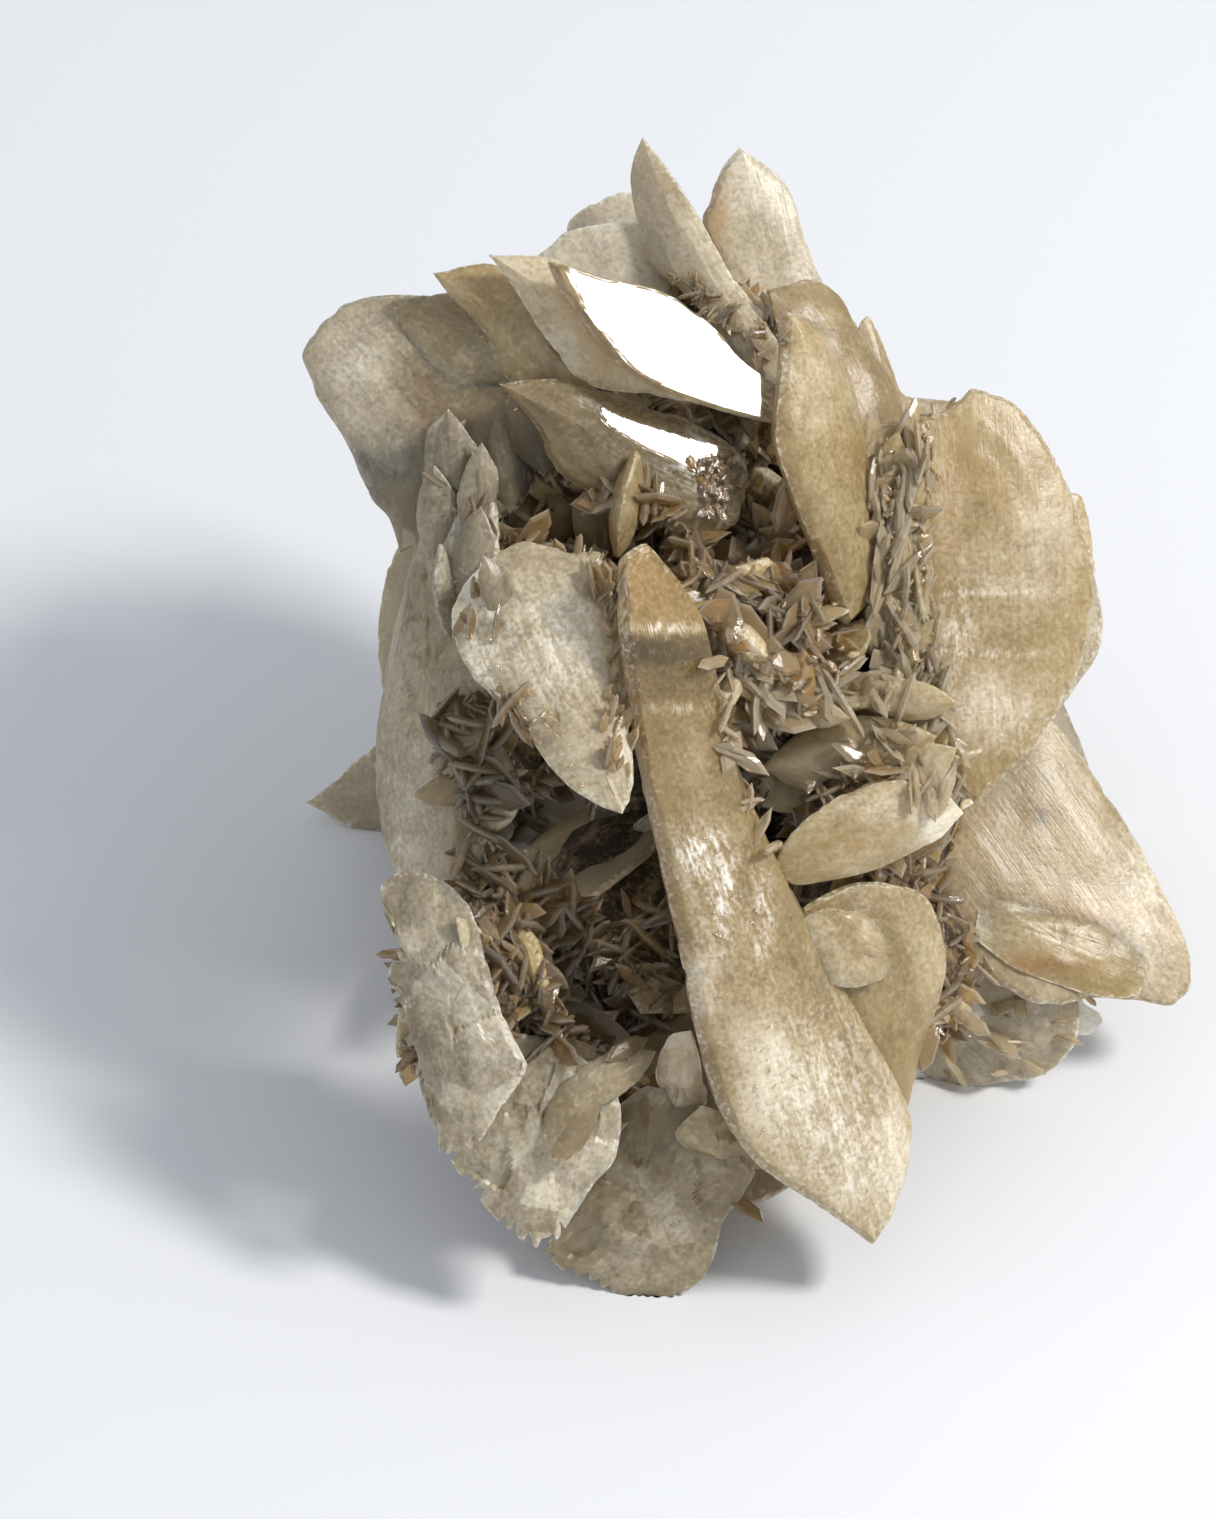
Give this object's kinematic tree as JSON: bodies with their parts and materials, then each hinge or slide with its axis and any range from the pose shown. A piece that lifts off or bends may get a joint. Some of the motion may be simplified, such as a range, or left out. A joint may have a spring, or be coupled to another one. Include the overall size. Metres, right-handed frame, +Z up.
{
  "type": "desert rose selenite",
  "caption": "Free-standing cluster of lens-shaped, half-clear gypsum blades grown through each other like petals, with a dark hollow and small crystals between them.",
  "frame": {"origin": "bottom centre of the bounding box, on the surface that the cluster stands on", "axes": "+Z up; -Y is the front, where the long blade and the hollow show; +X to the right seen from the front"},
  "size_m": [0.057, 0.0596, 0.0542],
  "materials": {
    "selenite": "half-clear honey brown crystal, glossy on the cleavage faces, cloudy inside, with fine growth lines, stained seams and chipped pale edges"
  },
  "bodies": {
    "root": {"crystal_cluster": "selenite"}
  },
  "joints": []
}
